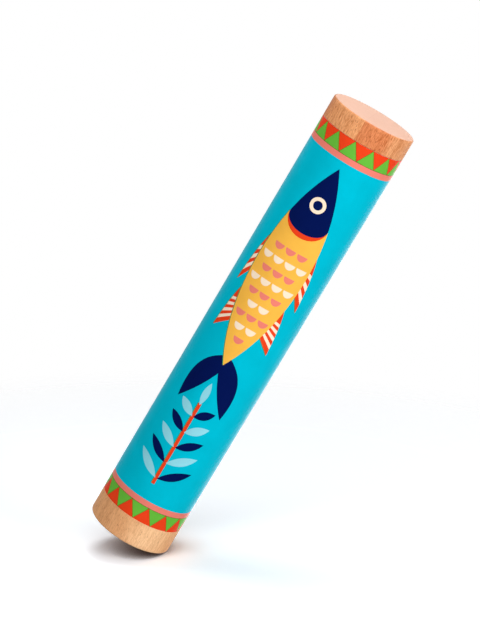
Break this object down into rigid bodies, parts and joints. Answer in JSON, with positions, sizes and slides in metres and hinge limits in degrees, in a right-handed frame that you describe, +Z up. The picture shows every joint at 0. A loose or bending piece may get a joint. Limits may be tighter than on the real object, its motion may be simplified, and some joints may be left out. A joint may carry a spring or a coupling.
{
  "type": "rain stick",
  "caption": "Toy rain stick: a wrapped tube with turned wooden caps, crossed inside by a spiral of pins that loose beads trickle past when it is turned over.",
  "frame": {"origin": "centre of the lower cap's flat end, on the surface that the stick stands on", "axes": "+Z up the stick from the lower cap to the upper cap; -Y is the side that the wrap's printed figure faces"},
  "size_m": [0.045, 0.045, 0.249],
  "materials": {
    "cap_beech": "turned beech, sanded, thin satin varnish",
    "tube_board": "spiral-wound grey-brown board, matte",
    "printed_paper": "printed turquoise paper under a satin varnish",
    "pin_birch": "plain birch dowel, unfinished",
    "bead_steel": "polished steel shot"
  },
  "bodies": {
    "stick": {"tube": "tube_board", "printed_wrap": "printed_paper", "lower_cap": "cap_beech", "upper_cap": "cap_beech", "pin_01": "pin_birch", "pin_02": "pin_birch", "pin_03": "pin_birch", "pin_04": "pin_birch", "pin_05": "pin_birch", "pin_06": "pin_birch", "pin_07": "pin_birch", "pin_08": "pin_birch", "pin_09": "pin_birch", "pin_10": "pin_birch", "pin_11": "pin_birch", "pin_12": "pin_birch", "pin_13": "pin_birch", "pin_14": "pin_birch", "pin_15": "pin_birch", "pin_16": "pin_birch", "pin_17": "pin_birch", "pin_18": "pin_birch", "pin_19": "pin_birch", "pin_20": "pin_birch", "pin_21": "pin_birch", "pin_22": "pin_birch", "pin_23": "pin_birch", "pin_24": "pin_birch", "pin_25": "pin_birch", "pin_26": "pin_birch", "pin_27": "pin_birch", "pin_28": "pin_birch", "pin_29": "pin_birch", "pin_30": "pin_birch"},
    "loose_bead_01": {"bead_01": "bead_steel"},
    "loose_bead_02": {"bead_02": "bead_steel"},
    "loose_bead_03": {"bead_03": "bead_steel"},
    "loose_bead_04": {"bead_04": "bead_steel"},
    "loose_bead_05": {"bead_05": "bead_steel"},
    "loose_bead_06": {"bead_06": "bead_steel"},
    "loose_bead_07": {"bead_07": "bead_steel"},
    "loose_bead_08": {"bead_08": "bead_steel"},
    "loose_bead_09": {"bead_09": "bead_steel"},
    "loose_bead_10": {"bead_10": "bead_steel"},
    "loose_bead_11": {"bead_11": "bead_steel"},
    "loose_bead_12": {"bead_12": "bead_steel"},
    "loose_bead_13": {"bead_13": "bead_steel"},
    "loose_bead_14": {"bead_14": "bead_steel"},
    "loose_bead_15": {"bead_15": "bead_steel"},
    "loose_bead_16": {"bead_16": "bead_steel"},
    "loose_bead_17": {"bead_17": "bead_steel"},
    "loose_bead_18": {"bead_18": "bead_steel"},
    "loose_bead_19": {"bead_19": "bead_steel"},
    "loose_bead_20": {"bead_20": "bead_steel"},
    "loose_bead_21": {"bead_21": "bead_steel"},
    "loose_bead_22": {"bead_22": "bead_steel"},
    "loose_bead_23": {"bead_23": "bead_steel"},
    "loose_bead_24": {"bead_24": "bead_steel"}
  },
  "joints": [
    {"name": "bead_01_fall", "type": "slide", "parent": "stick", "child": "loose_bead_01", "axis": [0, 0, 1], "range_m": [0, 0.1998]},
    {"name": "bead_02_fall", "type": "slide", "parent": "stick", "child": "loose_bead_02", "axis": [0, 0, 1], "range_m": [0, 0.1998]},
    {"name": "bead_03_fall", "type": "slide", "parent": "stick", "child": "loose_bead_03", "axis": [0, 0, 1], "range_m": [0, 0.1998]},
    {"name": "bead_04_fall", "type": "slide", "parent": "stick", "child": "loose_bead_04", "axis": [0, 0, 1], "range_m": [0, 0.1998]},
    {"name": "bead_05_fall", "type": "slide", "parent": "stick", "child": "loose_bead_05", "axis": [0, 0, 1], "range_m": [0, 0.1998]},
    {"name": "bead_06_fall", "type": "slide", "parent": "stick", "child": "loose_bead_06", "axis": [0, 0, 1], "range_m": [0, 0.1998]},
    {"name": "bead_07_fall", "type": "slide", "parent": "stick", "child": "loose_bead_07", "axis": [0, 0, 1], "range_m": [0, 0.1998]},
    {"name": "bead_08_fall", "type": "slide", "parent": "stick", "child": "loose_bead_08", "axis": [0, 0, 1], "range_m": [0, 0.1998]},
    {"name": "bead_09_fall", "type": "slide", "parent": "stick", "child": "loose_bead_09", "axis": [0, 0, 1], "range_m": [0, 0.1998]},
    {"name": "bead_10_fall", "type": "slide", "parent": "stick", "child": "loose_bead_10", "axis": [0, 0, 1], "range_m": [0, 0.1998]},
    {"name": "bead_11_fall", "type": "slide", "parent": "stick", "child": "loose_bead_11", "axis": [0, 0, 1], "range_m": [0, 0.1998]},
    {"name": "bead_12_fall", "type": "slide", "parent": "stick", "child": "loose_bead_12", "axis": [0, 0, 1], "range_m": [0, 0.1998]},
    {"name": "bead_13_fall", "type": "slide", "parent": "stick", "child": "loose_bead_13", "axis": [0, 0, 1], "range_m": [0, 0.1998]},
    {"name": "bead_14_fall", "type": "slide", "parent": "stick", "child": "loose_bead_14", "axis": [0, 0, 1], "range_m": [0, 0.1998]},
    {"name": "bead_15_fall", "type": "slide", "parent": "stick", "child": "loose_bead_15", "axis": [0, 0, 1], "range_m": [0, 0.1998]},
    {"name": "bead_16_fall", "type": "slide", "parent": "stick", "child": "loose_bead_16", "axis": [0, 0, 1], "range_m": [0, 0.1998]},
    {"name": "bead_17_fall", "type": "slide", "parent": "stick", "child": "loose_bead_17", "axis": [0, 0, 1], "range_m": [0, 0.1998]},
    {"name": "bead_18_fall", "type": "slide", "parent": "stick", "child": "loose_bead_18", "axis": [0, 0, 1], "range_m": [0, 0.1998]},
    {"name": "bead_19_fall", "type": "slide", "parent": "stick", "child": "loose_bead_19", "axis": [0, 0, 1], "range_m": [0, 0.1998]},
    {"name": "bead_20_fall", "type": "slide", "parent": "stick", "child": "loose_bead_20", "axis": [0, 0, 1], "range_m": [0, 0.1998]},
    {"name": "bead_21_fall", "type": "slide", "parent": "stick", "child": "loose_bead_21", "axis": [0, 0, 1], "range_m": [0, 0.1998]},
    {"name": "bead_22_fall", "type": "slide", "parent": "stick", "child": "loose_bead_22", "axis": [0, 0, 1], "range_m": [0, 0.1998]},
    {"name": "bead_23_fall", "type": "slide", "parent": "stick", "child": "loose_bead_23", "axis": [0, 0, 1], "range_m": [0, 0.1998]},
    {"name": "bead_24_fall", "type": "slide", "parent": "stick", "child": "loose_bead_24", "axis": [0, 0, 1], "range_m": [0, 0.1998]}
  ]
}
